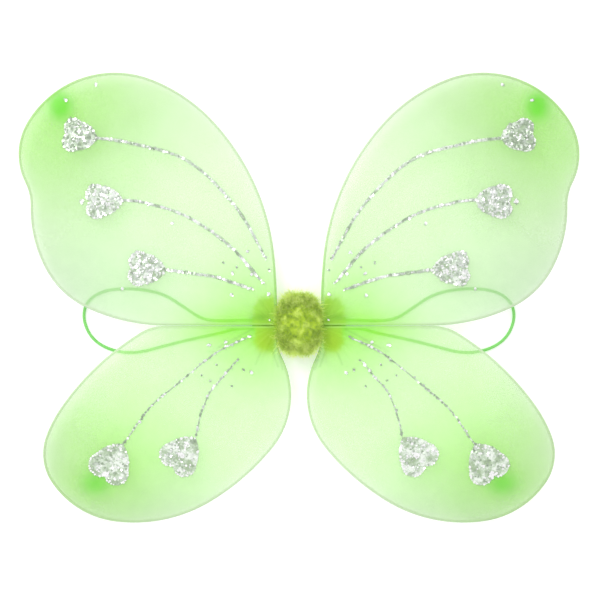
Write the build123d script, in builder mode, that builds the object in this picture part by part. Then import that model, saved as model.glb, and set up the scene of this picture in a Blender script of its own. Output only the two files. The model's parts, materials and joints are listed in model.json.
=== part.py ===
from build123d import *
import os
from math import asin, atan2, cos, hypot, pi, radians, sin, tan

# Child's butterfly wings of stretched nylon on wire frames, lying face up on their back pad.
# Millimetres. +X is the wearer's right, +Y is towards the wearer's head, and +Z points away
# from the wearer's back. Shapes are given once, for the right side, and side = -1 mirrors them.

# ---- driving dimensions
wire_d = 1.8  # steel frame wire
nylon_wall = 0.25  # stocking fabric, one layer
slack = 0.05  # between the wire and the nylon around it
wing_z = 14.0  # mid-plane of the four wings
hinge_x = 20.0  # the frame wires bend here, just outside the centre bundle
knuckle = 1.1  # a straight leg's wire stops this far from the hinge axis, on each side
cover_gap = 1.5  # the nylon starts this far outside the hinge axis
leg_end_gap = 0.3  # between the two end faces of a leg that lies along the hinge axis

wire_r = wire_d / 2
cavity_half = wire_r + slack
cover_half = cavity_half + nylon_wall
wing_top = wing_z + cover_half

bundle_y = -25.0  # the upper and the lower wing meet along this line
wire_pitch = 2.8  # between neighbouring wires where they cross the centre
straight_offset = wire_pitch / 2  # the inner two wires, either side of bundle_y
bent_offset = straight_offset + wire_pitch  # the outer two wires, which turn up and down
bend_r = 3.0  # where an outer wire turns from the bundle to the hinge axis

pad_x = 40.0
pad_top_y = -0.5
pad_bottom_y = -47.5
waist_x = 21.6
waist_shoulder_x = 23.0
waist_top_y = -12.5
waist_bottom_y = -35.8
pad_corner = 5.0
pad_crown = 1.2
felt_h = 1.5
pad_top_z = 12.0

tape_x = 13.0
tape_wall = 0.6
tie_wall = 0.6
tie_w = 4.0
neck_x = (13.3, 16.6)
neck_wall = 0.4
binding_x = (14.2, 15.7)
binding_wall = 0.35

puff_w = 36.0
puff_l = 59.0
puff_y = -24.5
puff_h = 12.0
puff_corner = 13.0
puff_crown = 9.0

elastic_d = 2.6
tab_x = (33.0, 40.5)
tab_y = (-29.8, -17.8)
tab_h = 2.6

heart_h = 1.0
vein_w = 2.4
vein_h = 0.6
dot_d = 2.3
dot_h = 0.5

# A wing's wire leaves the centre straight outwards, then follows arcs, each tangent to the one
# before it, that end at these points. The last arc ends on the hinge axis.
upper_straight_x = 114.0
upper_arc_ends = [
    (182.0, -8.3),
    (216.0, 24.0),
    (228.9, 77.4),
    (233.7, 98.6),
    (232.2, 148.0),
    (127.2, 185.1),
    (75.1, 150.1),
    (21.9, 31.0),
    (hinge_x, -16.0),
]
lower_straight_x = 114.5
lower_arc_ends = [
    (136.0, -32.5),
    (202.0, -94.5),
    (215.5, -120.0),
    (211.0, -158.5),
    (158.0, -191.5),
    (76.0, -174.5),
    (24.0, -129.5),
    (15.5, -53.0),
    (hinge_x, -34.0),
]

# Glitter hearts: the tip, the direction in degrees from the tip to the notch, length and width.
upper_hearts = {
    "outer": ((172.8, 135.8), 7.0, 29.5, 29.0),
    "middle": ((150.5, 82.3), -2.0, 32.0, 30.0),
    "inner": ((113.5, 22.8), 3.0, 32.5, 30.0),
}
lower_hearts = {
    "outer": ((150.5, -126.8), -56.0, 35.0, 36.0),
    "inner": ((88.6, -120.8), -51.5, 34.5, 35.0),
}

# Glitter veins: each runs from the tip of the heart of the same name towards the centre.
upper_veins = {
    "outer": [(171.0, 135.5), (144.5, 131.5), (96.0, 116.5), (55.0, 77.8), (27.5, 31.4)],
    "middle": [(148.3, 82.4), (132.4, 80.4), (97.5, 69.2), (60.0, 44.0), (30.1, 10.8)],
    "inner": [(111.3, 22.6), (88.6, 19.4), (69.7, 16.2), (38.4, 5.6)],
}
lower_veins = {
    "outer": [(149.2, -124.8), (128.1, -95.6), (107.5, -77.6), (70.5, -48.0), (41.6, -34.0)],
    "inner": [(87.9, -118.0), (84.3, -101.9), (76.2, -82.1), (65.4, -69.2), (52.5, -53.8)],
}

# Loose dots of glitter glue
upper_dots = [
    (44.0, 38.3),
    (64.9, 29.3),
    (56.9, 19.9),
    (53.3, 24.9),
    (40.8, 18.9),
    (58.0, 1.3),
    (25.4, 22.5),
    (25.6, 2.2),
    (108.4, 62.4),
    (199.5, 168.1),
    (174.1, 181.5),
    (151.0, 6.6),
]
lower_dots = [
    (77.0, -41.6),
    (83.4, -67.5),
    (75.6, -72.0),
    (47.3, -62.8),
    (57.3, -76.7),
    (70.5, -58.5),
    (40.4, -65.3),
    (62.6, -39.2),
]

# Route of an elastic arm loop: out of the pad, round on the floor under the wings, and back.
floor_z = elastic_d / 2 + slack
exit_z = felt_h + elastic_d / 2
elastic_route = [
    (tab_x[1], -20.4, exit_z),
    (53.5, -20.4, exit_z),
    (67.0, -21.2, floor_z),
    (84.0, -19.8, floor_z),
    (99.0, -9.5, floor_z),
    (118.0, 3.0, floor_z),
    (146.0, 7.5, floor_z),
    (170.0, 5.3, floor_z),
    (184.5, -4.5, floor_z),
    (187.3, -20.0, floor_z),
    (179.5, -37.0, floor_z),
    (163.0, -46.8, floor_z),
    (141.0, -49.5, floor_z),
    (114.0, -42.0, floor_z),
    (88.0, -35.8, floor_z),
    (68.0, -31.8, floor_z),
    (53.0, -27.2, exit_z),
    (tab_x[1], -27.2, exit_z),
]

wings = {
    "upper": (1, upper_straight_x, upper_arc_ends, upper_hearts, upper_veins, upper_dots),
    "lower": (-1, lower_straight_x, lower_arc_ends, lower_hearts, lower_veins, lower_dots),
}
sides = {"left": -1, "right": 1}

os.makedirs("parts", exist_ok=True)


def save(builder, name):
    """Labels a finished sub-part and writes it under its own name."""
    builder.part.label = name
    export_step(builder.part, f"parts/{name}.step")


def outward(side, points):
    """The points on one side of the object."""
    return [(side * x, *rest) for x, *rest in points]


def frame_line(side, up, straight_x, arc_ends):
    """Draws the centreline of one wing's wire in the open BuildLine."""
    y = bundle_y + up * straight_offset
    piece = Line((side * (hinge_x + knuckle), y), (side * straight_x, y))
    for end in outward(side, arc_ends):
        piece = TangentArc(piece @ 1, end, tangent=piece % 1)


def box_between(low, high, mode=Mode.ADD):
    """A box from its lowest to its highest corner."""
    size = [b - a for a, b in zip(low, high)]
    centre = tuple((a + b) / 2 for a, b in zip(low, high))
    with Locations(centre):
        Box(*size, mode=mode)


def sleeve_section(y_low, y_high, z_half, wall):
    """Draws a flat sleeve's section: a wall with rounded corners, around its opening."""
    middle = (y_low + y_high) / 2
    with Locations((middle, wing_z)):
        RectangleRounded(y_high - y_low + 2 * wall, 2 * (z_half + wall), 2 * wall)
        Rectangle(y_high - y_low, 2 * z_half, mode=Mode.SUBTRACT)


def fillet_radii(points):
    """The radius at each corner of a cord's route, as large as its two runs allow."""
    vectors = [Vector(*b) - Vector(*a) for a, b in zip(points, points[1:])]
    radii = []
    for before, after in zip(vectors, vectors[1:]):
        half_turn = radians(before.get_angle(after)) / 2
        radii.append(0.45 * min(before.length, after.length) / tan(half_turn))
    return radii


# ---- centre: the wires that cross it
for wing, (up, *_) in wings.items():
    straight_y = bundle_y + up * straight_offset
    bent_y = bundle_y + up * bent_offset
    axis_end_y = wings[wing][2][-1][1] - up * leg_end_gap
    with BuildPart() as crossing_wires:
        with BuildLine(Plane.XY.offset(wing_z)) as straight_path:
            Line((knuckle - hinge_x, straight_y), (hinge_x - knuckle, straight_y))
        with BuildSketch(Plane(straight_path.line @ 0, z_dir=straight_path.line % 0)):
            Circle(wire_r)
        sweep(path=straight_path.wire())
        with BuildLine(Plane.XY.offset(wing_z)) as bent_path:
            FilletPolyline(
                (-hinge_x, axis_end_y),
                (-hinge_x, bent_y),
                (hinge_x, bent_y),
                (hinge_x, axis_end_y),
                radius=bend_r,
            )
        with BuildSketch(Plane(bent_path.line @ 0, z_dir=bent_path.line % 0)):
            Circle(wire_r)
        sweep(path=bent_path.wire())
    save(crossing_wires, f"{wing}_crossing_wires")

# ---- centre: tape round the crossing wires
bundle_half = bent_offset + cavity_half
with BuildPart() as centre_tape:
    with BuildSketch(Plane.YZ.offset(-tape_x)):
        sleeve_section(bundle_y - bundle_half, bundle_y + bundle_half, cavity_half, tape_wall)
    extrude(amount=2 * tape_x)
save(centre_tape, "centre_tape")

# ---- centre: each wing's gathered nylon neck, and the thread round both necks of one side
for side_name, side in sides.items():
    near, far = sorted(side * x for x in neck_x)
    for wing, (up, *_) in wings.items():
        low, high = sorted(
            (
                bundle_y + up * (straight_offset - cavity_half),
                bundle_y + up * (bent_offset + cavity_half),
            )
        )
        with BuildPart() as neck:
            with BuildSketch(Plane.YZ.offset(near)):
                sleeve_section(low, high, cavity_half, neck_wall)
            extrude(amount=far - near)
        save(neck, f"{wing}_{side_name}_nylon_neck")
    near, far = sorted(side * x for x in binding_x)
    neck_half = bundle_half + neck_wall
    with BuildPart() as binding:
        with BuildSketch(Plane.YZ.offset(near)):
            sleeve_section(
                bundle_y - neck_half, bundle_y + neck_half, cavity_half + neck_wall, binding_wall
            )
        extrude(amount=far - near)
    save(binding, f"{side_name}_binding_thread")

# ---- centre: plush pad against the wearer's back, pinched at its waist, on a felt backing
tape_half = cavity_half + tape_wall
tie_top_z = wing_z + tape_half + tie_wall
bow_outline = [
    (pad_x, pad_top_y),
    (waist_shoulder_x, pad_top_y),
    (waist_x, waist_top_y),
    (-waist_x, waist_top_y),
    (-waist_shoulder_x, pad_top_y),
    (-pad_x, pad_top_y),
    (-pad_x, pad_bottom_y),
    (-waist_shoulder_x, pad_bottom_y),
    (-waist_x, waist_bottom_y),
    (waist_x, waist_bottom_y),
    (waist_shoulder_x, pad_bottom_y),
    (pad_x, pad_bottom_y),
]

with BuildPart() as back_felt:
    with BuildSketch():
        with BuildLine():
            Polyline(*bow_outline, close=True)
        make_face()
    extrude(amount=felt_h)
    corners = back_felt.edges().filter_by(Axis.Z).sort_by(Axis.X)
    fillet(corners[:2] + corners[-2:], pad_corner)
save(back_felt, "back_felt")

with BuildPart() as back_pad:
    with BuildSketch(Plane.XY.offset(felt_h)):
        with BuildLine():
            Polyline(*bow_outline, close=True)
        make_face()
    extrude(amount=pad_top_z - felt_h)
    corners = back_pad.edges().filter_by(Axis.Z).sort_by(Axis.X)
    fillet(corners[:2] + corners[-2:], pad_corner)
    fillet(back_pad.faces().sort_by(Axis.Z)[-1].edges(), pad_crown)
    box_between(
        (-tape_x, bundle_y - bundle_half, pad_top_z - 1),
        (tape_x, bundle_y + bundle_half, wing_z - tape_half),
    )
    box_between(
        (-tie_w / 2, waist_bottom_y, felt_h),
        (tie_w / 2, waist_top_y, felt_h + tie_wall),
        mode=Mode.SUBTRACT,
    )
    for side in sides.values():
        near, far = sorted((side * tab_x[0], side * tab_x[1]))
        box_between(
            (near, tab_y[0], felt_h), (far, tab_y[1], felt_h + tab_h), mode=Mode.SUBTRACT
        )
save(back_pad, "back_pad")

# ---- centre: thread tie that pinches the pad's waist to the taped bundle
with BuildPart() as centre_tie:
    with BuildSketch(Plane.YZ.offset(-tie_w / 2)):
        with Locations(((waist_bottom_y + waist_top_y) / 2, (felt_h + tie_top_z) / 2)):
            Rectangle(waist_top_y - waist_bottom_y + 2 * tie_wall, tie_top_z - felt_h)
            Rectangle(
                waist_top_y - waist_bottom_y, tie_top_z - felt_h - 2 * tie_wall, mode=Mode.SUBTRACT
            )
    extrude(amount=tie_w)
save(centre_tie, "centre_tie")

# ---- centre: fluffy puff over the front
with BuildPart() as front_puff:
    with BuildSketch(Plane.XY.offset(tie_top_z)):
        with Locations((0, puff_y)):
            RectangleRounded(puff_w, puff_l, puff_corner)
    extrude(amount=puff_h)
    fillet(front_puff.faces().sort_by(Axis.Z)[-1].edges(), puff_crown)
save(front_puff, "front_puff")

# ---- arm loops: round elastic, both ends sewn into a folded tab inside the pad's edge
for side_name, side in sides.items():
    near, far = sorted((side * tab_x[0], side * tab_x[1]))
    with BuildPart() as tab:
        box_between((near, tab_y[0], felt_h), (far, tab_y[1], felt_h + tab_h))
    save(tab, f"{side_name}_elastic_tab")

    route = outward(side, elastic_route)
    radii = fillet_radii(route)
    with BuildPart() as elastic:
        with BuildLine() as path:
            FilletPolyline(*route, radius=radii)
        with BuildSketch(Plane(path.line @ 0, z_dir=path.line % 0)):
            Circle(elastic_d / 2)
        sweep(path=path.wire())
    save(elastic, f"{side_name}_elastic_loop")
    length = path.wire().length
    ideal = pi * (elastic_d / 2) ** 2 * length
    print(side_name, "loop radii", [round(r, 1) for r in radii], "length", round(length, 1))
    print(side_name, "loop volume", round(elastic.part.volume, 1), "section x length", round(ideal, 1))

# ---- wings
for wing, (up, straight_x, arc_ends, hearts, veins, dots) in wings.items():
    outer_leg_y = bundle_y + up * (straight_offset - cover_half)
    axis_leg_y = arc_ends[-1][1]
    for side_name, side in sides.items():
        with BuildPart() as wire:
            with BuildLine(Plane.XY.offset(wing_z)) as path:
                frame_line(side, up, straight_x, arc_ends)
            with BuildSketch(Plane(path.line @ 0, z_dir=path.line % 0)):
                Circle(wire_r)
            sweep(path=path.wire())
        save(wire, f"{wing}_{side_name}_wire")

        # a flat pouch of nylon, open at the root where the wire's two ends come out
        with BuildPart() as cover:
            for half, mode in ((cover_half, Mode.ADD), (cavity_half, Mode.SUBTRACT)):
                with BuildSketch(Plane.XY.offset(wing_z)):
                    with BuildLine() as edge:
                        frame_line(side, up, straight_x, arc_ends)
                        Line(edge.line @ 1, edge.line @ 0)
                    make_face()
                    offset(amount=half)
                extrude(amount=half, both=True, mode=mode)
            root = sorted((side * (hinge_x - 2 * cover_half), side * (hinge_x + cover_gap)))
            leg = sorted((outer_leg_y - up, axis_leg_y - up * slack))
            box_between(
                (root[0], leg[0], wing_z - 2 * cover_half),
                (root[1], leg[1], wing_z + 2 * cover_half),
                mode=Mode.SUBTRACT,
            )
        save(cover, f"{wing}_{side_name}_nylon_cover")

        for place, (tip, angle, length, width) in hearts.items():
            # two lobes of radius lobe_r, and straight sides from them to the tip
            lobe_r = width * 0.29
            lobe = (length - lobe_r, width / 2 - lobe_r)
            reach = hypot(*lobe)
            side_angle = atan2(lobe[1], lobe[0]) + asin(lobe_r / reach)
            side_length = (reach**2 - lobe_r**2) ** 0.5
            meet = (side_length * cos(side_angle), side_length * sin(side_angle))
            notch = (lobe[0] + (lobe_r**2 - lobe[1] ** 2) ** 0.5, 0)
            top = (lobe[0] + lobe_r * cos(pi / 4), lobe[1] + lobe_r * sin(pi / 4))
            plane = Plane(
                origin=(side * tip[0], tip[1], wing_top),
                x_dir=(side * cos(radians(angle)), sin(radians(angle)), 0),
                z_dir=(0, 0, 1),
            )
            with BuildPart() as heart:
                with BuildSketch(plane):
                    with BuildLine():
                        Line((0, 0), meet)
                        ThreePointArc(meet, top, notch)
                        mirror(about=Plane.XZ)
                    make_face()
                extrude(amount=heart_h)
            save(heart, f"{wing}_{side_name}_{place}_heart")

        for place, points in veins.items():
            with BuildPart() as vein:
                with BuildSketch(Plane.XY.offset(wing_top)):
                    with BuildLine():
                        Spline(*outward(side, points))
                    trace(line_width=vein_w)
                extrude(amount=vein_h)
            save(vein, f"{wing}_{side_name}_{place}_vein")

        with BuildPart() as glitter_dots:
            with BuildSketch(Plane.XY.offset(wing_top)):
                with Locations(*outward(side, dots)):
                    Circle(dot_d / 2)
            extrude(amount=dot_h)
        save(glitter_dots, f"{wing}_{side_name}_glitter_dots")
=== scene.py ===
"""Fairy wings: the looks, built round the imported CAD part. Metres, in the part's frame."""

import json
import math

import bpy
import bmesh
import numpy as np
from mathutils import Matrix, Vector, noise
from mathutils.geometry import delaunay_2d_cdt


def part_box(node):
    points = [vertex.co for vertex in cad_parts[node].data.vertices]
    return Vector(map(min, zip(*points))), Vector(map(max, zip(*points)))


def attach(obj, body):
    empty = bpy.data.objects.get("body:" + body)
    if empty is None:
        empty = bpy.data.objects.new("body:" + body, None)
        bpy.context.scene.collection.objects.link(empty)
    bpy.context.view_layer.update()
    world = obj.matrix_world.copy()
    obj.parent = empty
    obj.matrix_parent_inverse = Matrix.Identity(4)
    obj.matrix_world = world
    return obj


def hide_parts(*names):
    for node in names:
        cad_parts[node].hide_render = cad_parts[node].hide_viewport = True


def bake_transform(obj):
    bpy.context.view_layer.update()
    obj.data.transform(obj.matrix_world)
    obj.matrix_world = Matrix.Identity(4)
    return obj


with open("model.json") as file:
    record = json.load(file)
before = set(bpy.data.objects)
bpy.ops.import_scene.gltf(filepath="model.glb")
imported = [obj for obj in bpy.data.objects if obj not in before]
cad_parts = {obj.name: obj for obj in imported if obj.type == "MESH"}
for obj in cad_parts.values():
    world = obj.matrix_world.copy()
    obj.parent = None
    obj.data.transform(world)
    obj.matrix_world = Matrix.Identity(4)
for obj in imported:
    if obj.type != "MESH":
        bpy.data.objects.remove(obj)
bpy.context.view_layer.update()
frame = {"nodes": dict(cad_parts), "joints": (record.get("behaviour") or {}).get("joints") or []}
scene = bpy.context.scene
joints = {joint["name"]: joint for joint in frame["joints"]}
sides = {"left": -1, "right": 1}

# ---- driving dimensions, in metres
view_width = 0.5145
view_centre = (0.0009, -0.003)
lens_mm = 85
sensor_mm = 36

hinge_x, _, wing_z = joints["upper_right_fold"]["pos_m"]
cover_low, cover_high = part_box("upper_right_nylon_cover")
cover_half = (cover_high.z - cover_low.z) / 2
wing_top = cover_high.z
felt_low, felt_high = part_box("back_felt")
pad_low, pad_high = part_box("back_pad")
pad_middle_y = (pad_low.y + pad_high.y) / 2
puff_low, puff_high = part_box("front_puff")
loop_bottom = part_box("right_elastic_loop")[0].z
tab_end_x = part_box("right_elastic_tab")[1].x

elastic_d = 0.0026
floor_z = loop_bottom + elastic_d / 2
exit_z = felt_high.z + elastic_d / 2

# The nylon's two layers lie just inside the CAD cover's faces, and its rim just outside the cover's.
layer_inset = 0.00005
rim_outset = 0.00010
outline_step = 0.003
root_mesh_step = 0.0011
root_mesh_reach = 0.055

# The glitter's underside
glitter_base = wing_top + 0.00002

# A wing's wire runs straight outwards, then follows arcs, each tangent to the one before it,
# that end at these points. The same list as in the CAD part, for the right side.
outlines = {
    "upper": (
        (0.0211, -0.0236),
        (0.1140, -0.0236),
        [
            (0.1820, -0.0083),
            (0.2160, 0.0240),
            (0.2289, 0.0774),
            (0.2337, 0.0986),
            (0.2322, 0.1480),
            (0.1272, 0.1851),
            (0.0751, 0.1501),
            (0.0219, 0.0310),
            (hinge_x, -0.0160),
        ],
    ),
    "lower": (
        (0.0211, -0.0264),
        (0.1145, -0.0264),
        [
            (0.1360, -0.0325),
            (0.2020, -0.0945),
            (0.2155, -0.1200),
            (0.2110, -0.1585),
            (0.1580, -0.1915),
            (0.0760, -0.1745),
            (0.0240, -0.1295),
            (0.0155, -0.0530),
            (hinge_x, -0.0340),
        ],
    ),
}

# Hearts: the tip, the direction in degrees from the tip to the notch, length and width.
hearts = {
    "upper": {
        "outer": ((0.1728, 0.1358), 7.0, 0.0295, 0.0290),
        "middle": ((0.1505, 0.0823), -2.0, 0.0320, 0.0300),
        "inner": ((0.1135, 0.0228), 3.0, 0.0325, 0.0300),
    },
    "lower": {
        "outer": ((0.1512, -0.1262), -61.0, 0.0350, 0.0365),
        "inner": ((0.0886, -0.1208), -51.5, 0.0345, 0.0350),
    },
}

# How bright each heart's glitter is painted, from 0 to 1, and where along it the brightest cluster of
# painted glints is
heart_glitter = {
    "upper": {"outer": (0.24, 0.6), "middle": (0.54, 0.55), "inner": (0.58, 0.5)},
    "lower": {"outer": (0.40, 0.95), "inner": (0.52, 0.62)},
}
heart_bulge = {"upper": 0.105, "lower": 0.07}

# How the glitter lies on each wing's hearts and veins. Shares are of the places a flake can take,
# tones run from 0 dark to 1 silver, patches are per metre and sizes are diameters. The tones are
# painted
# light on silver flakes: white for painted glints, dark for painted shade. Half of a heart's
# glint flakes are in its cluster; a blob is a bigger painted glint on a vein.
glitter_style = {
    "upper": {
        "heart_share": 0.34,
        "heart_flake": (0.0018, 0.0036),
        "patch_scale": 230,
        "patch_depth": 0.6,
        "cluster_reach": 0.0040,
        "glint_flakes": 16,
        "vein_half_width": 0.0018,
        "vein_share": 0.80,
        "vein_tone": 0.55,
        "vein_flake": (0.0018, 0.0032),
        "blob_share": 0.06,
    },
    "lower": {
        "heart_share": 0.13,
        "heart_flake": (0.0014, 0.0030),
        "patch_scale": 140,
        "patch_depth": 0.9,
        "cluster_reach": 0.0026,
        "glint_flakes": 34,
        "vein_half_width": 0.0008,
        "vein_share": 0.42,
        "vein_tone": 0.34,
        "vein_flake": (0.0018, 0.0029),
        "blob_share": 0.14,
    },
}

# Veins: each runs from its heart's tip towards the centre.
veins = {
    "upper": {
        "outer": [
            (0.1710, 0.1355),
            (0.1445, 0.1315),
            (0.0960, 0.1165),
            (0.0550, 0.0778),
            (0.0275, 0.0314),
        ],
        "middle": [
            (0.1483, 0.0824),
            (0.1324, 0.0804),
            (0.0975, 0.0692),
            (0.0600, 0.0440),
            (0.0301, 0.0108),
        ],
        "inner": [(0.1113, 0.0226), (0.0886, 0.0194), (0.0697, 0.0162), (0.0384, 0.0056)],
    },
    "lower": {
        "outer": [
            (0.1492, -0.1248),
            (0.1281, -0.0956),
            (0.1075, -0.0776),
            (0.0705, -0.0480),
            (0.0416, -0.0340),
        ],
        "inner": [
            (0.0879, -0.1180),
            (0.0843, -0.1019),
            (0.0762, -0.0821),
            (0.0654, -0.0692),
            (0.0525, -0.0538),
        ],
    },
}

# Loose dots of glitter glue, how bright each is painted, and its radius where it isn't the usual one.
# Each dark dot has a painted highlight on one side, and each bright dot painted shade on one side.
dots = {
    "upper": [
        (0.0440, 0.0383, 0.9),
        (0.0649, 0.0293, 0.2),
        (0.0569, 0.0199, 0.9),
        (0.0533, 0.0249, 0.3),
        (0.0408, 0.0189, 0.9),
        (0.0580, 0.0013, 1.0),
        (0.0254, 0.0225, 0.2),
        (0.0256, 0.0022, 0.8),
        (0.1084, 0.0624, 0.9),
        (0.1995, 0.1681, 1.0),
        (0.1741, 0.1815, 1.0),
        (0.1510, 0.0066, 0.9),
        (0.1862, 0.0816, 1.0, 0.0020),
        (0.0252, -0.0200, 1.0, 0.0008),
    ],
    "lower": [
        (0.0770, -0.0416, 1.0),
        (0.0834, -0.0675, 0.1),
        (0.0756, -0.0720, 0.1),
        (0.0473, -0.0628, 0.1),
        (0.0573, -0.0767, 0.1),
        (0.0705, -0.0585, 0.15),
        (0.0404, -0.0653, 1.0),
        (0.0626, -0.0392, 0.9),
    ],
}

# Route of the right arm loop: out of the pad, round on the floor under the wings, and back.
elastic_route = [
    (tab_end_x, -0.0204, exit_z),
    (0.0535, -0.0204, exit_z),
    (0.0670, -0.0212, floor_z),
    (0.0840, -0.0198, floor_z),
    (0.0990, -0.0095, floor_z),
    (0.1180, 0.0030, floor_z),
    (0.1460, 0.0075, floor_z),
    (0.1700, 0.0053, floor_z),
    (0.1845, -0.0045, floor_z),
    (0.1873, -0.0200, floor_z),
    (0.1795, -0.0370, floor_z),
    (0.1630, -0.0468, floor_z),
    (0.1410, -0.0495, floor_z),
    (0.1140, -0.0420, floor_z),
    (0.0880, -0.0358, floor_z),
    (0.0680, -0.0318, floor_z),
    (0.0530, -0.0272, exit_z),
    (tab_end_x, -0.0272, exit_z),
]


# ---- materials
def new_material(name, roughness=0.6, **sockets):
    """A material with one Principled shader; returns it, its node tree and the shader."""
    material = bpy.data.materials.new(name)
    material.use_nodes = True
    tree = material.node_tree
    shader = tree.nodes["Principled BSDF"]
    shader.inputs["Roughness"].default_value = roughness
    for socket, value in sockets.items():
        shader.inputs[socket.replace("_", " ")].default_value = value
    return material, tree, shader


def add_node(tree, kind, **values):
    """A node with its input sockets set by name."""
    node = tree.nodes.new(kind)
    for socket, value in values.items():
        node.inputs[socket.replace("_", " ")].default_value = value
    return node


def rest_position(tree):
    """The object's own coordinates."""
    return tree.nodes.new("ShaderNodeTexCoord").outputs["Object"]


def noise_at(tree, scale, detail=3.0):
    """Noise of a number of lumps per metre."""
    texture = add_node(tree, "ShaderNodeTexNoise", Scale=scale, Detail=detail)
    tree.links.new(rest_position(tree), texture.inputs["Vector"])
    return texture.outputs["Fac"]


def ramp(tree, factor, stops):
    """A colour ramp with stops of (place, colour)."""
    node = tree.nodes.new("ShaderNodeValToRGB")
    elements = node.color_ramp.elements
    while len(elements) < len(stops):
        elements.new(0.5)
    for element, (place, colour) in zip(elements, stops):
        element.position = place
        element.color = (*colour, 1.0)
    tree.links.new(factor, node.inputs["Fac"])
    return node.outputs["Color"]


def add_bump(tree, shader, height, strength, distance):
    """Gives the shader a bump from a height."""
    node = add_node(tree, "ShaderNodeBump", Strength=strength, Distance=distance)
    tree.links.new(height, node.inputs["Height"])
    tree.links.new(node.outputs["Normal"], shader.inputs["Normal"])


def math_node(tree, operation, a, b):
    """A value worked out from two others, each a number or a socket."""
    node = tree.nodes.new("ShaderNodeMath")
    node.operation = operation
    for socket, value in zip(node.inputs, (a, b)):
        if isinstance(value, (int, float)):
            socket.default_value = value
        else:
            tree.links.new(value, socket)
    return node.outputs[0]


def attribute(tree, name, output):
    """A value stored on the mesh."""
    node = tree.nodes.new("ShaderNodeAttribute")
    node.attribute_name = name
    return node.outputs[output]


def fibre_material(name, stops, scale):
    """Blotchy dyed fibres, lighter where the tone stored on them is higher; on the puff that tone is
    painted light.
    """
    material, tree, shader = new_material(name, 0.85, Sheen_Weight=0.4, Sheen_Roughness=0.6)
    patches = noise_at(tree, scale)
    strands = noise_at(tree, scale * 9)
    mixed = math_node(tree, "ADD", patches, math_node(tree, "MULTIPLY", strands, 0.35))
    tone = math_node(tree, "MULTIPLY", attribute(tree, "tone", "Fac"), 0.5)
    centred = math_node(tree, "ADD", math_node(tree, "SUBTRACT", mixed, 0.42), tone)
    tree.links.new(ramp(tree, centred, stops), shader.inputs["Base Color"])
    add_bump(tree, shader, strands, 0.4, 0.0004)
    return material


def make_nylon():
    """Airbrushed stocking with painted shade and a painted rim highlight: the tint and the cover are
    stored on the mesh, the knit is procedural.
    """
    material, tree, shader = new_material("nylon", 0.5, Sheen_Weight=0.25, Sheen_Roughness=0.5)
    knit = noise_at(tree, 1900, 2.0)
    mottle = noise_at(tree, 90, 6.0)
    shade = ramp(tree, mottle, [(0.3, (0.93, 0.95, 0.93)), (0.7, (1.0, 1.0, 1.0))])
    tint = tree.nodes.new("ShaderNodeMixRGB")
    tint.blend_type = "MULTIPLY"
    tint.inputs["Fac"].default_value = 1.0
    tree.links.new(attribute(tree, "tint", "Color"), tint.inputs["Color1"])
    tree.links.new(shade, tint.inputs["Color2"])
    tree.links.new(tint.outputs["Color"], shader.inputs["Base Color"])
    holes = math_node(tree, "MULTIPLY", knit, 0.12)
    alpha = math_node(tree, "ADD", attribute(tree, "cover", "Fac"), holes)
    tree.links.new(alpha, shader.inputs["Alpha"])
    add_bump(tree, shader, knit, 0.2, 0.0002)
    return material


def make_flakes():
    """Glitter flakes painted from dark to silver white after the tone stored on each flake: painted
    shade and painted glints on flakes that are all silver.
    """
    material, tree, shader = new_material("glitter_flakes", 0.28, Metallic=0.85)
    tone = attribute(tree, "tone", "Fac")
    stops = [
        (0.0, (0.26, 0.36, 0.22)),
        (0.35, (0.46, 0.55, 0.43)),
        (0.6, (0.68, 0.74, 0.68)),
        (0.8, (1.0, 1.0, 1.0)),
    ]
    grain = noise_at(tree, 2500, 2.0)
    varied = math_node(tree, "ADD", tone, math_node(tree, "MULTIPLY", grain, 0.2))
    centred = math_node(tree, "SUBTRACT", varied, 0.1)
    tree.links.new(ramp(tree, centred, stops), shader.inputs["Base Color"])
    add_bump(tree, shader, grain, 0.2, 0.0001)
    return material


def make_gel():
    """Clear glue with fine glitter in it, over the green nylon."""
    material, tree, shader = new_material("glitter_gel", 0.18, Coat_Weight=0.4)
    fine = noise_at(tree, 900, 3.0)
    patches = noise_at(tree, 150, 2.0)
    fine_share = math_node(tree, "MULTIPLY", fine, 0.35)
    mixed = math_node(tree, "ADD", fine_share, math_node(tree, "MULTIPLY", patches, 0.65))
    stops = [(0.40, (0.36, 0.48, 0.30)), (0.5, (0.54, 0.66, 0.50)), (0.60, (0.84, 0.90, 0.82))]
    tree.links.new(ramp(tree, mixed, stops), shader.inputs["Base Color"])
    add_bump(tree, shader, fine, 0.5, 0.0004)
    return material


def make_wire():
    """Frame wire in pale green paint, darker and greener towards the root, paler further out."""
    material, tree, shader = new_material("wire_paint", 0.4)
    worn = noise_at(tree, 300)
    length = tree.nodes.new("ShaderNodeVectorMath")
    length.operation = "LENGTH"
    tree.links.new(rest_position(tree), length.inputs[0])
    varied = math_node(tree, "ADD", length.outputs["Value"], math_node(tree, "MULTIPLY", worn, 0.03))
    stops = [(0.04, (0.40, 0.68, 0.24)), (0.07, (0.62, 0.78, 0.48)), (0.14, (0.70, 0.80, 0.61))]
    tree.links.new(ramp(tree, varied, stops), shader.inputs["Base Color"])
    add_bump(tree, shader, worn, 0.1, 0.0002)
    return material


def make_felt():
    """Matted felt."""
    material, tree, shader = new_material("felt", 0.95, Sheen_Weight=0.3)
    mat = noise_at(tree, 900, 6.0)
    stops = [(0.3, (0.20, 0.42, 0.06)), (0.7, (0.36, 0.62, 0.14))]
    tree.links.new(ramp(tree, mat, stops), shader.inputs["Base Color"])
    add_bump(tree, shader, mat, 0.8, 0.0006)
    return material


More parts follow.
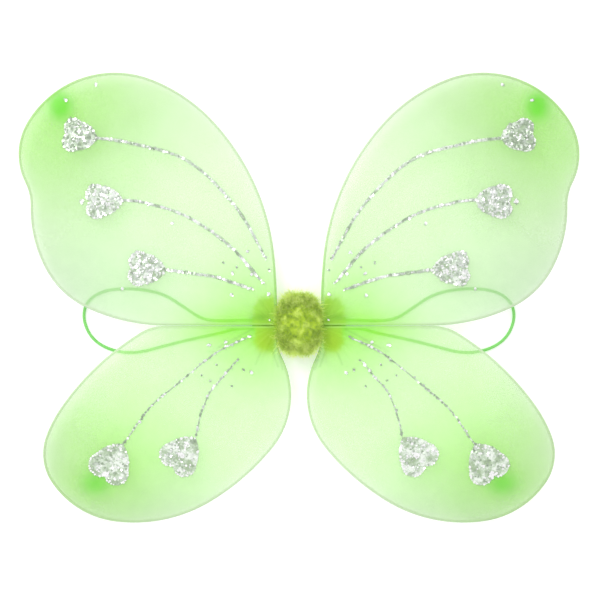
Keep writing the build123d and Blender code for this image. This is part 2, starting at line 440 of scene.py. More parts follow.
def woven_material(name, dark, light, scale, across="X", roughness=0.7):
    """Ribs of thread or braid across one direction."""
    material, tree, shader = new_material(name, roughness)
    wave = add_node(tree, "ShaderNodeTexWave", Scale=scale, Distortion=1.2, Detail=1.0)
    wave.bands_direction = across
    tree.links.new(rest_position(tree), wave.inputs["Vector"])
    speckle = noise_at(tree, scale * 2)
    mixed = math_node(tree, "MULTIPLY", math_node(tree, "ADD", wave.outputs["Fac"], speckle), 0.5)
    tree.links.new(ramp(tree, mixed, [(0.25, dark), (0.75, light)]), shader.inputs["Base Color"])
    add_bump(tree, shader, mixed, 0.6, 0.0003)
    return material


nylon = make_nylon()
flakes = make_flakes()
gel = make_gel()
wire_paint = make_wire()
felt = make_felt()
elastic_braid = woven_material(
    "elastic_braid", (0.17, 0.58, 0.11), (0.31, 0.79, 0.23), 500.0, "DIAGONAL"
)
tape_cloth = woven_material("tape_cloth", (0.50, 0.62, 0.40), (0.72, 0.82, 0.60), 700.0)
thread_twist = woven_material(
    "thread_twist", (0.30, 0.55, 0.12), (0.50, 0.75, 0.25), 1500.0, "DIAGONAL"
)
tab_ribbon = woven_material("tab_ribbon", (0.22, 0.58, 0.14), (0.36, 0.76, 0.24), 900.0, "Y")
puff_fibres = fibre_material(
    "puff_fibres",
    [(0.30, (0.38, 0.58, 0.02)), (0.5, (0.50, 0.70, 0.03)), (0.78, (0.84, 1.0, 0.26))],
    170.0,
)
plush_fibres = fibre_material(
    "plush_fibres",
    [(0.34, (0.46, 0.72, 0.02)), (0.5, (0.66, 0.90, 0.04)), (0.66, (0.78, 0.98, 0.10))],
    120.0,
)


# ---- mesh helpers
class Piece:
    """Gathers points and faces, then becomes one Blender object."""

    def __init__(self):
        self.points = []
        self.faces = []
        self.materials = []
        self.tones = []

    def add(self, points, faces, material=0, tone=0.5):
        start = len(self.points)
        self.points.extend(tuple(p) for p in points)
        self.faces.extend([tuple(start + i for i in face) for face in faces])
        self.materials.extend([material] * len(faces))
        self.tones.extend([tone] * len(points))

    def build(self, name, materials, smooth=True):
        mesh = bpy.data.meshes.new(name)
        mesh.from_pydata(self.points, [], self.faces)
        mesh.polygons.foreach_set("material_index", self.materials)
        mesh.polygons.foreach_set("use_smooth", [smooth] * len(self.faces))
        tone = mesh.attributes.new("tone", "FLOAT", "POINT")
        tone.data.foreach_set("value", self.tones)
        for material in materials:
            mesh.materials.append(material)
        mesh.update()
        thing = bpy.data.objects.new(name, mesh)
        scene.collection.objects.link(thing)
        return thing


def ring_faces(rings, around):
    """Faces that join each ring of points to the next."""
    faces = []
    for k in range(rings - 1):
        for i in range(around):
            a = k * around + i
            b = k * around + (i + 1) % around
            faces.append((a, b, b + around, a + around))
    return faces


def slab_faces(triangles, total, count):
    """Faces of a flat slab: its top, its bottom from point number total on, and its edge."""
    faces = list(triangles)
    faces += [tuple(total + i for i in reversed(face)) for face in triangles]
    faces += [(i, (i + 1) % count, total + (i + 1) % count, total + i) for i in range(count)]
    return faces


def outward_normals(thing):
    """Turns every face outwards."""
    work = bmesh.new()
    work.from_mesh(thing.data)
    bmesh.ops.recalc_face_normals(work, faces=work.faces)
    work.to_mesh(thing.data)
    work.free()


def turned(arm, angle):
    """A flat vector turned anticlockwise."""
    c, s = math.cos(angle), math.sin(angle)
    return Vector((arm.x * c - arm.y * s, arm.x * s + arm.y * c))


def arc_points(start, heading, end, step):
    """Points on the arc that leaves start along heading and ends at end, and the new heading."""
    chord = end - start
    half_turn = heading.angle_signed(chord) * -1
    if abs(half_turn) < 1e-4:
        return [end], heading
    radius = chord.length / (2 * math.sin(half_turn))
    normal = Vector((-heading.y, heading.x))
    centre = start + normal * radius
    count = max(2, math.ceil(abs(radius * 2 * half_turn) / step))
    arm = start - centre
    points = [centre + turned(arm, 2 * half_turn * i / count) for i in range(1, count + 1)]
    return points, turned(heading, 2 * half_turn)


def wing_outline(wing, step):
    """Closed outline through the middle of a right wing's wire and its gathered neck."""
    leg_start, straight_end, arc_ends = outlines[wing]
    neck_low, neck_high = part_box(f"{wing}_right_nylon_neck")
    up = 1 if wing == "upper" else -1
    neck_y = (neck_high.y if up > 0 else neck_low.y) - up * cover_half
    points = []
    runs = [(neck_low.x, leg_start[1]), leg_start, straight_end]
    for a, b in zip(runs, runs[1:]):
        length = abs(b[0] - a[0])
        count = math.ceil(length / step)
        points += [Vector((a[0] + (b[0] - a[0]) * i / count, a[1])) for i in range(count)]
    points.append(Vector(straight_end))
    heading = Vector((1, 0))
    for end in arc_ends:
        arc, heading = arc_points(points[-1], heading, Vector(end), step)
        points += arc
    corner = 0.0015
    points.append(Vector((hinge_x, neck_y + up * corner)))
    points.append(Vector((hinge_x - corner, neck_y)))
    points.append(Vector(((hinge_x + neck_low.x) / 2, neck_y)))
    points.append(Vector((neck_low.x, neck_y)))
    return points


def hex_grid(low, high, spacing):
    """Evenly spaced points in staggered rows that fill a rectangle."""
    rows = []
    row_gap = spacing * math.sqrt(0.75)
    for k in range(int((high[1] - low[1]) / row_gap) + 1):
        xs = np.arange(low[0] + (k % 2) * spacing / 2, high[0], spacing)
        rows.append(np.column_stack([xs, np.full(len(xs), low[1] + k * row_gap)]))
    return np.vstack(rows)


def filled(loop, spacing, root=None, reach=0, fine=0):
    """Triangles that fill a closed loop: the loop's points come first, then points inside it.
    Within reach of the root the points are closer together."""
    edge = np.array(loop)
    grid = hex_grid(edge.min(0), edge.max(0), spacing)
    if root is not None:
        far = np.linalg.norm(grid - np.array(root), axis=1) > reach
        dense = hex_grid(edge.min(0), edge.max(0), fine)
        near = np.linalg.norm(dense - np.array(root), axis=1) < reach - spacing * 0.4
        grid = np.vstack([grid[far], dense[near]])
    inside = np.zeros(len(grid), bool)
    for a, b in zip(edge, np.roll(edge, -1, axis=0)):
        crosses = (a[1] > grid[:, 1]) != (b[1] > grid[:, 1])
        if crosses.any():
            x_at = a[0] + (grid[:, 1] - a[1]) * (b[0] - a[0]) / (b[1] - a[1])
            inside ^= crosses & (grid[:, 0] < x_at)
    gaps = distance_to_loop(grid, loop)
    grid = grid[inside & (gaps > (fine or spacing) * 0.45)]
    points = [Vector(p) for p in np.vstack([edge, grid])]
    count = len(loop)
    edges = [(i, (i + 1) % count) for i in range(count)]
    made = delaunay_2d_cdt(points, edges, [], 1, 1e-7)
    return [Vector(p) for p in made[0]], [tuple(face) for face in made[2]]


def distance_to_run(points, a, b):
    """Distance of each point from the straight run between two others."""
    run = b - a
    along = np.clip(((points - a) @ run) / max(run @ run, 1e-15), 0, 1)
    return np.linalg.norm(points - (a + along[:, None] * run), axis=1)


def distance_to_loop(points, loop):
    """Distance of each point from a closed loop."""
    points, edge = np.array(points), np.array(loop)
    nearest = np.full(len(points), 1e9)
    for a, b in zip(edge, np.roll(edge, -1, axis=0)):
        nearest = np.minimum(nearest, distance_to_run(points, a, b))
    return nearest


# ---- camera
camera_data = bpy.data.cameras.new("camera")
camera_data.lens = lens_mm
camera_data.sensor_width = sensor_mm
camera_data.clip_end = 20
camera = bpy.data.objects.new("camera", camera_data)
scene.collection.objects.link(camera)
camera.location = (*view_centre, wing_z + view_width * lens_mm / sensor_mm)
scene.camera = camera

# ---- arm loops
for side_name, side in sides.items():
    curve = bpy.data.curves.new(f"{side_name}_elastic", "CURVE")
    curve.dimensions = "3D"
    curve.bevel_depth = elastic_d / 2
    curve.bevel_resolution = 4
    curve.resolution_u = 10
    curve.use_fill_caps = True
    spline = curve.splines.new("NURBS")
    spline.points.add(len(elastic_route) - 1)
    for point, (x, y, z) in zip(spline.points, elastic_route):
        point.co = (side * x, y, z, 1)
    spline.order_u = 3
    spline.use_endpoint_u = True
    curve.materials.append(elastic_braid)
    elastic = bpy.data.objects.new(f"{side_name}_elastic", curve)
    scene.collection.objects.link(elastic)
    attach(elastic, "centre")
    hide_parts(f"{side_name}_elastic_loop")


# ---- nylon
def srgb(red, green, blue):
    """A linear colour from the usual 0 to 255 values."""
    return np.array([(c / 255) ** 2.2 for c in (red, green, blue)])


pale_tint = srgb(208, 249, 178)
mid_tint = srgb(174, 252, 88)
strong_tint = srgb(124, 252, 2)
whitish_tint = srgb(196, 230, 182)
# Painted highlight along the nylon's rim
rim_highlight_tint = srgb(222, 238, 212)
pad_tint = srgb(184, 234, 54)
# Painted shade in the creases and where the nylon gathers
crease_shade_tint = srgb(112, 184, 48)

# Creases that run out from the gathered root, on the lower wings, painted darker green as painted
# shade
creases = [
    ((0.040, -0.0280), (0.0765, -0.0477)),
    ((0.0327, -0.0477), (0.0370, -0.0580)),
    ((0.0190, -0.0440), (0.0138, -0.0624)),
    ((0.0235, -0.0440), (0.0180, -0.0600)),
]


def pad_half_height(x):
    """Half the plush pad's height along Y, at a distance x from its middle: two round lobes."""
    waist, lobe = 0.0117, (pad_high.y - pad_low.y) / 2
    flare = min(max((abs(x) - 0.0195) / 0.0030, 0), 1)
    end = min(max((pad_high.x - abs(x)) / 0.0120, 0), 1)
    rounded = 0.30 + 0.70 * math.sqrt(1 - (1 - end) ** 2)
    return (waist + (lobe - waist) * flare * flare * (3 - 2 * flare)) * rounded


# Airbrushed spots of stronger green: how strong, where as shares of the wing's box from the root
# and from the bottom, how far they spread, and how much wider and taller than round they are.
green_spots = {
    "upper": [
        (0.46, (0.90, 0.80), 0.054, (1.0, 1.0)),
        (0.60, (0.838, 0.868), 0.0068, (1.0, 1.3)),
        (0.12, (0.62, 0.95), 0.034, (1.6, 1.0)),
    ],
    "lower": [
        (0.42, (0.76, 0.22), 0.050, (1.0, 1.0)),
        (0.46, (0.79, 0.20), 0.0080, (1.3, 1.0)),
    ],
}

# A whitish spot on each, told the same way
whitish_spots = {
    "upper": (1.0, (0.80, 0.10), 0.040, (1.3, 1.0)),
    "lower": (0.5, (0.45, 0.0), 0.026, (2.2, 1.0)),
}

# Green all over, and how much darker the far part of the wing is painted, as painted shade
green_all_over = {"upper": 0.0, "lower": 0.05}
far_painted_shade = {"upper": 0.21, "lower": 0.26}


def spot(points, centre, spread, stretch=(1.0, 1.0)):
    """A soft airbrushed spot: 1 at its centre, falling off with distance."""
    offset = (points - np.array(centre)) / np.array(stretch)
    return np.exp(-(offset**2).sum(1) / (2 * spread**2))


def soft_step(values, edge, blur):
    """0 well below the edge and 1 well above it."""
    return 1 / (1 + np.exp(np.clip((edge - values) / blur, -40, 40)))


def blended(tint, other, share):
    """The tint mixed with another, point by point."""
    return tint + (other - tint) * np.clip(share, 0, 1)[:, None]


def dye_and_painted_light(wing, points, rim_gap):
    """The nylon's tint and cover at right-side points, given each one's distance from the rim. The
    tint holds the dye, painted shade far out, in the creases and where the nylon gathers, and a
    painted highlight along the rim.
    """
    low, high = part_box(f"{wing}_right_nylon_cover")
    width, height = high.x - low.x, high.y - low.y

    def at(u, v):
        return (low.x + u * width, low.y + v * height)

    root = (hinge_x + 0.012, felt_low.y / 2)
    green = 0.42 * spot(points, root, 0.036)
    green += 0.26 * spot(points, (0.060, -0.026), 0.009, (4.0, 1.0))
    green += green_all_over[wing]
    for amount, place, spread, stretch in green_spots[wing]:
        green += amount * spot(points, at(*place), spread, stretch)
    amount, place, spread, stretch = whitish_spots[wing]
    whitish = amount * spot(points, at(*place), spread, stretch)
    patchy = np.array([noise.noise(Vector((*p, 0)) * 40) for p in points])
    green = np.clip(green + 0.05 * patchy, 0, 1)
    tint = np.tile(pale_tint, (len(points), 1))
    tint = blended(blended(tint, mid_tint, green * 2), strong_tint, green * 2 - 1)
    tint = blended(tint, whitish_tint, whitish * 0.8)
    from_root = np.linalg.norm(points - np.array(root), axis=1)
    # Painted shade: the tint darker far from the root
    tint = tint * (1 - far_painted_shade[wing] * np.clip((from_root - 0.13) / 0.08, 0, 1))[:, None]
    # Painted highlight: whitish along the rim, away from the root and the strong green
    away = 1 - spot(points, root, 0.045)
    away *= 1 - np.clip(green * 2, 0, 1)
    tint = blended(tint, rim_highlight_tint, 0.5 * away * np.exp(-rim_gap / 0.0022))
    # Painted shade: darker green along the creases
    if wing == "lower":
        for start, end in creases:
            gap = distance_to_run(points, np.array(start), np.array(end))
            tint = blended(tint, crease_shade_tint, 0.35 * np.exp(-((gap / 0.0009) ** 2)))
    ragged = np.array([noise.noise(Vector((*p, 3)) * 120) for p in points]) * 0.006
    room = np.array([pad_half_height(x) for x in points[:, 0]]) - abs(points[:, 1] - pad_middle_y)
    over_pad = soft_step(room + ragged, -0.0012, 0.0020)
    over_pad *= soft_step(-points[:, 0] - ragged, -pad_high.x + 0.0005, 0.0009)
    tint = blended(tint, pad_tint, over_pad * (0.70 + 0.6 * patchy))
    # Painted shade: darker green where the nylon gathers near the root
    pinch_shade = spot(points, (0.0335, -0.0180), 0.0026, (2.4, 1.0))
    tint = blended(tint, crease_shade_tint, 0.5 * pinch_shade)
    cover = 0.26 + 0.24 * green + 0.4 * np.clip(green - 0.6, 0, 1)
    cover += 0.06 * over_pad + 0.10 * whitish + 0.10 * spot(points, root, 0.030)
    return tint, cover


def pleat(points):
    """Height of the folds that run out from the root, where the nylon is gathered."""
    offset = points - np.array((hinge_x - 0.002, felt_low.y / 2 - 0.001))
    distance = np.linalg.norm(offset, axis=1)
    angle = np.arctan2(offset[:, 1], offset[:, 0])
    depth = 0.0006 * np.exp(-distance / 0.022) * np.clip(distance / 0.006, 0, 1)
    return depth * (np.sin(angle * 23 + 1.0) + 0.6 * np.sin(angle * 41 + 2.0) - 1.2)


for wing in outlines:
    loop = wing_outline(wing, outline_step)
    root = (hinge_x, felt_low.y / 2)
    flat, triangles = filled(loop, outline_step, root, root_mesh_reach, root_mesh_step)
    count = len(loop)
    gaps = distance_to_loop(flat, loop)
    points2 = np.array(flat)
    ripple = np.array([0.00012 * noise.noise(Vector((*p, 0)) * 45) for p in flat])
    soften = np.clip(gaps / 0.006, 0, 1)
    top = cover_half - layer_inset + np.minimum((pleat(points2) + ripple) * soften, 0)
    before = np.roll(points2[:count], 1, axis=0)
    after = np.roll(points2[:count], -1, axis=0)
    run = after - before
    run /= np.linalg.norm(run, axis=1)[:, None]
    up = 1 if wing == "upper" else -1
    normal = np.column_stack([run[:, 1], -run[:, 0]]) * up
    tint, cover = dye_and_painted_light(wing, points2, gaps)
    for side_name, side in sides.items():
        piece = Piece()
        total = len(flat)
        points = [(side * p.x, p.y, wing_z + h) for p, h in zip(flat, top)]
        points += [(side * p.x, p.y, wing_z - h) for p, h in zip(flat, top)]
        faces = list(triangles)
        faces += [tuple(total + i for i in reversed(face)) for face in triangles]
        rings = [list(range(count))]
        rim_angles = [60, 30, 0, -30, -60]
        for degrees in rim_angles:
            out = (cover_half + rim_outset) * math.cos(math.radians(degrees))
            rise = (cover_half - layer_inset) * math.sin(math.radians(degrees))
            rings.append(list(range(len(points), len(points) + count)))
            points += [
                (side * (p[0] + n[0] * out), p[1] + n[1] * out, wing_z + rise)
                for p, n in zip(points2[:count], normal)
            ]
        rings.append([total + i for i in range(count)])
        for ring, next_ring in zip(rings, rings[1:]):
            for i in range(count):
                j = (i + 1) % count
                faces.append((ring[i], ring[j], next_ring[j], next_ring[i]))
        piece.add(points, faces)
        name = f"{wing}_{side_name}_nylon"
        thing = piece.build(name, [nylon])
        outward_normals(thing)
        colours = np.vstack([tint, tint, np.tile(tint[:count], (len(rim_angles), 1))])
        colours = np.column_stack([colours, np.ones(len(colours))])
        stored = thing.data.attributes.new("tint", "FLOAT_COLOR", "POINT")
        stored.data.foreach_set("color", colours.astype(np.float32).ravel())
        covers = np.concatenate([cover, cover, np.full(count * len(rim_angles), 0.38)])
        stored = thing.data.attributes.new("cover", "FLOAT", "POINT")
        stored.data.foreach_set("value", covers.astype(np.float32))
        body = f"{wing}_{side_name}_wing"
        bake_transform(thing)
        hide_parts(f"{wing}_{side_name}_nylon_cover", f"{wing}_{side_name}_nylon_neck")


# ---- glitter
def heart_outline(tip, degrees, length, width, bulge):
    """Closed heart: two bulging sides from the tip, two round lobes and the notch between them."""
    lobe = 0.29 * width
    centre = Vector((length - lobe, width / 2 - lobe))
    reach = centre.length
    side_angle = math.atan2(centre.y, centre.x) + math.asin(lobe / reach)
    start = side_angle + math.pi / 2
    notch = math.atan2(-centre.y, math.sqrt(max(lobe**2 - centre.y**2, 0)))
    upper = []
    for i in range(15):
        angle = start + (notch - start) * i / 14
        upper.append(centre + lobe * Vector((math.cos(angle), math.sin(angle))))
    side_out = Vector((-upper[0].y, upper[0].x)).normalized() * width * bulge
    half = [Vector((0, 0))]
    half += [upper[0] * f + side_out * 4 * f * (1 - f) for f in (0.12, 0.3, 0.5, 0.7, 0.88)] + upper
    other = [Vector((p.x, -p.y)) for p in reversed(half[1:-1])]
    return [Vector(tip) + turned(p, math.radians(degrees)) for p in half + other]


def add_flake(piece, rng, place, size, tone, tilt):
    """An irregular thin flake, tilted a little at random."""
    corners = int(rng.integers(4, 8))
    lean = Vector((rng.normal(0, tilt), rng.normal(0, tilt), 1)).normalized()
    across = lean.orthogonal().normalized()
    along = lean.cross(across)
    phase = rng.uniform(0, math.tau)
    points = []
    for i in range(corners):
        angle = phase + math.tau * (i + rng.uniform(-0.25, 0.25)) / corners
        reach = size / 2 * rng.uniform(0.65, 1.1)
        arm = across * reach * math.cos(angle) + along * reach * math.sin(angle)
        points.append(Vector(place) + arm)
    piece.add(points, [tuple(range(corners))], material=1, tone=tone)


def heart_piece(name, wing, outline, side, brightness, glint_share, seed):
    """A lumpy gel heart under flakes, in bright and dark patches, with painted glints round its rim
    and a bright cluster of painted glints at a share of the way from its tip to its notch. The bright
    and dark patches are painted glints and painted shade on silver flakes."""
    rng = np.random.default_rng(seed)
    flat, triangles = filled(outline, 0.0011)
    gaps = distance_to_loop(flat, outline)
    rim_width, height = 0.0028, 0.0010
    rise = []
    for p, gap in zip(flat, gaps):
        share = min(gap / rim_width, 1)
        lump = 1 + 0.25 * noise.noise(Vector((*p, seed)) * 350)
        rise.append(height * math.sqrt(1 - (1 - share) ** 2) * lump)
    piece = Piece()
    total = len(flat)
    points = [(side * p.x, p.y, glitter_base + h) for p, h in zip(flat, rise)]
    points += [(side * p.x, p.y, glitter_base) for p in flat]
    count = len(outline)
    piece.add(points, slab_faces(triangles, total, count), material=0, tone=0.5)
    interior = [i for i in range(len(flat)) if gaps[i] > 0.0006]
    style = glitter_style[wing]
    for _ in range(int(len(interior) * style["heart_share"])):
        i = int(rng.choice(interior))
        shift = rng.normal(0, 0.0004, 2)
        place = (side * (flat[i].x + shift[0]), flat[i].y + shift[1], glitter_base + rise[i] + 0.00015)
        patch = noise.noise(Vector((flat[i].x, flat[i].y, seed)) * style["patch_scale"])
        tone = brightness + style["patch_depth"] * patch + rng.normal(0, 0.12)
        size = rng.uniform(*style["heart_flake"])
        add_flake(piece, rng, place, size, min(max(tone, 0.2), 1), 0.25)
    middle = sum(outline, Vector((0, 0))) / count
    glint_place = outline[0] + (outline[count // 2] - outline[0]) * glint_share
    around = sum((b - a).length for a, b in zip(outline, outline[1:] + outline[:1]))
    # Painted glints: white flakes round the rim.
    rim_glints = int(around / 0.0030)
    for k in range(rim_glints):
        i = int(k * count / rim_glints + rng.integers(0, 2)) % count
        if rng.random() < 0.25:
            continue
        inward = (middle - outline[i]).normalized() * 0.0008
        p = outline[i] + inward
        place = (side * p.x, p.y, glitter_base + 0.0012)
        add_flake(piece, rng, place, rng.uniform(0.0016, 0.0030), 1.0, 0.15)
    # Painted glints: white flakes, half in the bright cluster and half strewn over the heart.
    cluster = [i for i in interior if (flat[i] - glint_place).length < style["cluster_reach"]]
    for k in range(style["glint_flakes"]):
        i = int(rng.choice(cluster if k % 2 else interior))
        place = (side * flat[i].x, flat[i].y, glitter_base + rise[i] + 0.0004)
        add_flake(piece, rng, place, rng.uniform(0.0014, 0.0032), 1.0, 0.15)
    return piece.build(name, [gel, flakes], smooth=False)


def smooth_path(points, step):
    """A smooth curve through the points, sampled evenly."""
    padded = [2 * Vector(points[0]) - Vector(points[1])]
    padded += [Vector(p) for p in points]
    padded.append(2 * Vector(points[-1]) - Vector(points[-2]))
    fine = []
    for a, b, c, d in zip(padded, padded[1:], padded[2:], padded[3:]):
        for i in range(40):
            t = i / 40
            square = (2 * a - 5 * b + 4 * c - d) * t**2
            cube = (3 * b - a - 3 * c + d) * t**3
            fine.append(0.5 * (2 * b + (c - a) * t + square + cube))
    fine.append(padded[-2])
    kept = [fine[0]]
    for p in fine[1:]:
        if (p - kept[-1]).length >= step:
            kept.append(p)
    return kept


def vein_piece(name, wing, points, side, seed):
    """A thin, lumpy line of gel with flakes along it, painted dark to white as painted shade and
    painted glints.
    """
    rng = np.random.default_rng(seed)
    style = glitter_style[wing]
    path = smooth_path(points, 0.0007)
    piece = Piece()
    ring_size = 7
    points3 = []
    for k, p in enumerate(path):
        ahead = path[min(k + 1, len(path) - 1)] - path[max(k - 1, 0)]
        across = Vector((-ahead.y, ahead.x)).normalized()
        swell = 0.75 + 0.45 * noise.noise(Vector((*p, seed)) * 420)
        fade = min(1, (k + 1) / 4, (len(path) - k) / 10)
        half = style["vein_half_width"] * swell * fade
        for i in range(ring_size):
            angle = math.pi * i / (ring_size - 1)
            q = p + across * half * math.cos(angle)
            points3.append((side * q.x, q.y, glitter_base + 0.6 * half * math.sin(angle)))
    faces = ring_faces(len(path), ring_size)
    faces.append(tuple(range(ring_size)))
    faces.append(tuple(reversed(range((len(path) - 1) * ring_size, len(path) * ring_size))))
    piece.add(points3, faces, material=0, tone=0.5)
    for k, p in enumerate(path):
        if rng.random() > style["vein_share"]:
            continue
        shift = rng.normal(0, 0.00035, 2)
        patch = noise.noise(Vector((*p, seed)) * 210)
        tone = style["vein_tone"] + 0.8 * patch + rng.normal(0, 0.16)
        size = rng.uniform(*style["vein_flake"])
        height = glitter_base + 0.0008 + 0.0002 * rng.random()
        place = (side * (p.x + shift[0]), p.y + shift[1], height)
        add_flake(piece, rng, place, size, min(max(tone, 0.2), 1), 0.25)
        # Painted glint: now and then a bigger white flake on top.
        if rng.random() < style["blob_share"]:
            add_flake(piece, rng, (place[0], place[1], glitter_base + 0.0012), size * 1.2, 1.0, 0.1)
    return piece.build(name, [gel, flakes], smooth=False)


def dots_piece(name, wing, side, seed):
    """Small blobs of gel, each with a few flakes; two flakes on one side take the opposite tone to the
    dot, a painted highlight on a dark dot and painted shade on a bright one.
    """
    rng = np.random.default_rng(seed)
    piece = Piece()
    for x, y, tone, *size in dots[wing]:
        radius = size[0] if size else 0.0009 + 0.0005 * tone
        points, faces = [(side * x, y, glitter_base + 0.0005)], []
        around = 10
        for ring, (reach, rise) in enumerate([(0.6, 0.0004), (1.0, 0.0)]):
            for i in range(around):
                angle = math.tau * i / around
                out = radius * reach * rng.uniform(0.85, 1.1)
                px, py = side * x + out * math.cos(angle), y + out * math.sin(angle)
                points.append((px, py, glitter_base + rise))
        for i in range(around):
            j = (i + 1) % around
            faces.append((0, 1 + i, 1 + j))
            faces.append((1 + i, 1 + around + i, 1 + around + j, 1 + j))
        faces.append(tuple(reversed(range(1 + around, 1 + 2 * around))))
        piece.add(points, faces, material=0, tone=0.5)
        turn = rng.uniform(0, math.tau)
        for k in range(7):
            shift = rng.normal(0, 0.35 * radius, 2)
            if k < 2:
                shift = 0.8 * radius * np.array((math.cos(turn), math.sin(turn))) + 0.4 * shift
            place = (side * x + shift[0], y + shift[1], glitter_base + 0.0005 + 0.00006 * k)
            # Painted highlight and shade: the two flakes on one side take the opposite tone to the
            # dot's.
            flake_tone = 1.0 - 0.7 * tone if k < 2 else tone
            add_flake(piece, rng, place, radius * rng.uniform(1.1, 1.8), flake_tone, 0.15)
    return piece.build(name, [gel, flakes], smooth=False)


seed = 11
for wing in outlines:
    for side_name, side in sides.items():
        body = f"{wing}_{side_name}_wing"
        for place, values in hearts[wing].items():
            name = f"{wing}_{side_name}_{place}_heart"
            outline = heart_outline(*values, heart_bulge[wing])
            made = heart_piece(
                f"{name}_glitter", wing, outline, side, *heart_glitter[wing][place], seed
            )
            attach(made, body)
            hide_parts(name)
            seed += 1
        for place, values in veins[wing].items():
            name = f"{wing}_{side_name}_{place}_vein"
            route = [hearts[wing][place][0], *values]
            made = vein_piece(f"{name}_glitter", wing, route, side, seed)
            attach(made, body)
            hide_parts(name)
            seed += 1
        name = f"{wing}_{side_name}_glitter_dots"
        made = dots_piece(f"{name}_loose", wing, side, seed)
        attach(made, body)
        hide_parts(name)
        seed += 1


# ---- plush
def add_fibre(piece, rng, root, direction, length, width, low, top, tone):
    """A thin curved ribbon that tapers to its tip and stays between two heights."""
    direction = direction.normalized()
    across = direction.cross(Vector(rng.normal(0, 1, 3))).normalized()
    bend = Vector(rng.normal(0, 0.35, 3)) + Vector((0, 0, -0.12))
    points = []
    for share, taper in [(0, 1.0), (0.35, 0.9), (0.7, 0.65)]:
        middle = root + direction * length * share + bend * length * share**2
        points.append(middle - across * width / 2 * taper)
        points.append(middle + across * width / 2 * taper)
    points.append(root + direction * length + bend * length)
    for point in points:
        point.z = min(max(point.z, low), top)
    piece.add(points, [(0, 1, 3, 2), (2, 3, 5, 4), (4, 5, 6)], tone=tone)


def signed_power(value, power):
    """The size of a value raised to a power, with the value's sign."""
    return math.copysign(abs(value) ** power, value)


def puff_core_point(u, v, centre, half):
    """A point on the puff's rounded core, and its outward direction."""
    squareness = 0.75
    flat_reach = signed_power(math.cos(v), squareness)
    x = flat_reach * signed_power(math.cos(u), squareness)
    y = flat_reach * signed_power(math.sin(u), squareness)
    z = signed_power(math.sin(v), squareness)
    point = Vector((centre.x + half.x * x, centre.y + half.y * y, centre.z + half.z * z))
    outward = Vector((x / half.x, y / half.y, z / half.z)).normalized()
    return point, outward


def add_tuft(piece, rng, root, outward, amount, length, lean, low, top, tone, width):
    """A bunch of fibres that leave one place together and stay between two heights."""
    together = Vector(rng.normal(0, lean, 3))
    for _ in range(amount):
        direction = (outward + together + Vector(rng.normal(0, 0.3, 3))).normalized()
        direction.z = max(direction.z, -0.1)
        reach = length * rng.uniform(0.6, 1.25)
        place = root + Vector(rng.normal(0, 0.0006, 3))
        thickness = width * rng.uniform(0.7, 1.3)
        add_fibre(piece, rng, place, direction, reach, thickness, low, top, tone)


def make_puff():
    """The front puff: a lumpy core under a coat of tufts."""
    rng = np.random.default_rng(7)
    centre = (puff_low + puff_high) / 2
    half = (puff_high - puff_low) / 2
    core_half = Vector((half.x + 0.0003, half.y - 0.0056, half.z - 0.0022))
    head_shift = 0.0010
    centre.y += head_shift
    fibre_rise = 0.002
    low, top = puff_low.z, puff_high.z + fibre_rise
    piece = Piece()
    around, up = 48, 24
    points = []
    for j in range(up + 1):
        v = -math.pi / 2 + math.pi * j / up
        for i in range(around):
            point, outward = puff_core_point(math.tau * i / around, v, centre, core_half)
            point += outward * 0.0008 * noise.noise(point * 260)
            points.append(point)
    piece.add(points, ring_faces(up + 1, around))
    for _ in range(1700):
        u = rng.uniform(0, math.tau)
        v = math.asin(rng.uniform(-0.6, 1))
        root, outward = puff_core_point(u, v, centre, core_half)
        end_on, side_on = abs(root.y - centre.y) / half.y, abs(root.x - centre.x) / half.x
        length = rng.uniform(0.0034, 0.0056) * (1 - 0.25 * side_on)
        # Painted light: the fibres are painted lighter towards the puff's ends and sides, against the
        # shade that falls there.
        tone = 0.02 + 0.9 * min(max(end_on * 1.1, side_on * 0.62), 1) ** 1.4
        add_tuft(piece, rng, root, outward, 6, length, 0.5, low, top, tone, 0.0003)
    for _ in range(1000):
        u = rng.choice([-1, 1]) * math.pi / 2 + rng.normal(0, 0.55)
        root, outward = puff_core_point(u, rng.uniform(-0.4, 0.9), centre, core_half)
        length = rng.uniform(0.0050, 0.0085)
        # Painted light: the long fibres at the ends take the lightest tone, for the light that shines
        # through them.
        add_tuft(piece, rng, root, outward, 4, length, 0.35, low, top, 1.0, 0.00016)
    thing = piece.build("puff_fluff", [puff_fibres])
    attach(thing, "centre")
    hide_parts("front_puff")


def make_pad():
    """The plush pad behind the wires: a crowned bow-shaped core with short pile."""
    rng = np.random.default_rng(9)
    half_x = pad_high.x - 0.0020
    top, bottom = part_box("upper_left_wire")[0].z - 0.0006, pad_low.z
    columns, around = 81, 24
    squareness = 0.55
    centre_z, half_z = (top + bottom) / 2, (top - bottom) / 2 - 0.0006
    piece = Piece()

    def section_point(x, angle):
        end_share = min(max((half_x - abs(x)) / 0.004, 0.02), 1)
        taper = math.sqrt(1 - (1 - end_share) ** 2)
        wide = pad_half_height(x) - 0.0032
        c, s = math.cos(angle), math.sin(angle)
        y = pad_middle_y + wide * signed_power(c, squareness)
        z = centre_z + half_z * taper * signed_power(s, squareness)
        return Vector((x, y, z))

    xs = [-half_x + 0.0006 + 2 * (half_x - 0.0006) * k / (columns - 1) for k in range(columns)]
    points = [section_point(x, math.tau * i / around) for x in xs for i in range(around)]
    faces = ring_faces(columns, around)
    faces.append(tuple(reversed(range(around))))
    faces.append(tuple(range((columns - 1) * around, columns * around)))
    piece.add(points, faces)
    for _ in range(1800):
        x = rng.uniform(-half_x, half_x)
        angle = rng.uniform(-0.3, math.pi + 0.3)
        root = section_point(x, angle)
        ends = math.copysign(max(abs(x) - half_x + 0.004, 0) / 0.004, x)
        outward = Vector((ends, math.cos(angle), math.sin(angle))).normalized()
        length = rng.uniform(0.0020, 0.0062)
        add_tuft(piece, rng, root, outward, 4, length, 0.6, felt_high.z, top, 0.5, 0.0003)
    thing = piece.build("pad_plush", [plush_fibres])
    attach(thing, "centre")
    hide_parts("back_pad")


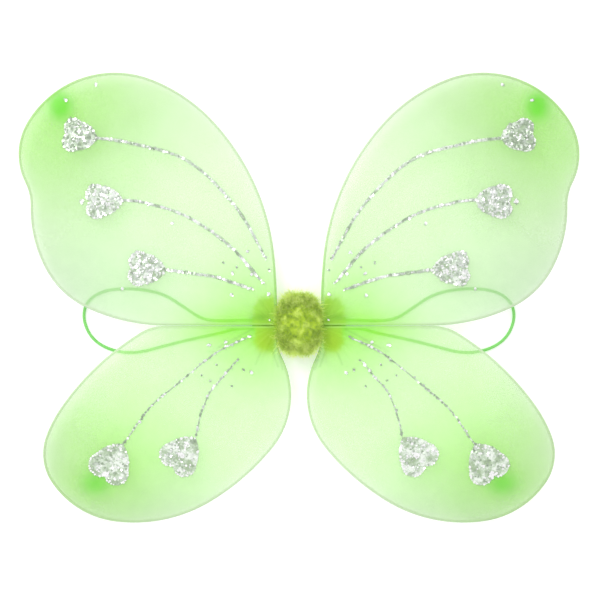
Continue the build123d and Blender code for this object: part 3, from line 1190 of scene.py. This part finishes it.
def make_felt_backing():
    """The felt that closes the pad's back, whipstitched round its edge."""
    reach = pad_high.x - 0.0030
    xs = [-reach + 2 * reach * k / 56 for k in range(57)]
    upper = [Vector((x, pad_middle_y + pad_half_height(x) - 0.0050)) for x in xs]
    lower = [Vector((x, 2 * pad_middle_y - y)) for x, y in reversed(upper)]
    outline = upper + lower
    flat, triangles = filled(outline, 0.0022)
    gaps = distance_to_loop(flat, outline)
    low, high = felt_low.z, felt_high.z
    piece = Piece()
    total, count = len(flat), len(outline)
    round_off = [0.0004 * (1 - min(gap / 0.0008, 1)) ** 2 for gap in gaps]
    points = [(p.x, p.y, high - r) for p, r in zip(flat, round_off)]
    points += [(p.x, p.y, low + r) for p, r in zip(flat, round_off)]
    piece.add(points, slab_faces(triangles, total, count))
    stitch_r = 0.0003
    stitch_path = [(-0.0022, low + stitch_r), (-0.0004, low + stitch_r), (0.0002, (low + high) / 2)]
    stitch_path += [(-0.0004, high - stitch_r), (-0.0022, high - stitch_r)]
    for k in range(count):
        p, ahead = outline[k], outline[(k + 1) % count] - outline[k - 1]
        outward = Vector((-ahead.y, ahead.x)).normalized()
        along = ahead.normalized()
        stitch = []
        for depth, z in stitch_path:
            centre = p + outward * depth
            for i in range(5):
                angle = math.tau * i / 5
                q = centre + along * stitch_r * math.cos(angle)
                stitch.append((q.x, q.y, z + stitch_r * math.sin(angle)))
        piece.add(stitch, ring_faces(len(stitch_path), 5), material=1)
    thing = piece.build("felt_backing", [felt, thread_twist])
    outward_normals(thing)
    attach(thing, "centre")
    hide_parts("back_felt")


make_puff()
make_pad()
make_felt_backing()

# ---- the CAD nodes that stay as they are
kept = {
    "centre_tape": tape_cloth,
    "centre_tie": thread_twist,
    "upper_crossing_wires": wire_paint,
    "lower_crossing_wires": wire_paint,
}
for side_name in sides:
    kept[f"{side_name}_binding_thread"] = thread_twist
    kept[f"{side_name}_elastic_tab"] = tab_ribbon
    for wing in outlines:
        kept[f"{wing}_{side_name}_wire"] = wire_paint
for name, material in kept.items():
    node = frame["nodes"][name]
    node.data.materials.clear()
    node.data.materials.append(material)

# ---- floor and light
floor_material, floor_tree, floor_shader = new_material("floor", 0.9)
floor_stops = [(0, (0.93, 0.93, 0.93)), (1, (0.96, 0.96, 0.96))]
floor_tone = ramp(floor_tree, noise_at(floor_tree, 3), floor_stops)
floor_tree.links.new(floor_tone, floor_shader.inputs["Base Color"])
floor_shader.inputs["Emission Color"].default_value = (1, 1, 1, 1)
floor_shader.inputs["Emission Strength"].default_value = 0.25
floor = Piece()
reach = 3.0
corners = [(-reach, -reach, 0), (reach, -reach, 0), (reach, reach, 0), (-reach, reach, 0)]
floor.add(corners, [(0, 1, 2, 3)])
floor_thing = floor.build("floor", [floor_material])
floor_thing.location.z = -0.0003

world = bpy.data.worlds.new("studio")
scene.world = world
world.use_nodes = True
world.node_tree.nodes["Background"].inputs["Color"].default_value = (1, 1, 1, 1)
world.node_tree.nodes["Background"].inputs["Strength"].default_value = 0.92

# One soft square light that faces the object
light_data = bpy.data.lights.new("key", "AREA")
light_data.size = 0.7
light_data.energy = 8
light = bpy.data.objects.new("key", light_data)
scene.collection.objects.link(light)
light.location = (-0.7, 0.7, 1.3)
light.rotation_euler = (-light.location).to_track_quat("-Z", "Y").to_euler()
scene.view_settings.view_transform = "Standard"
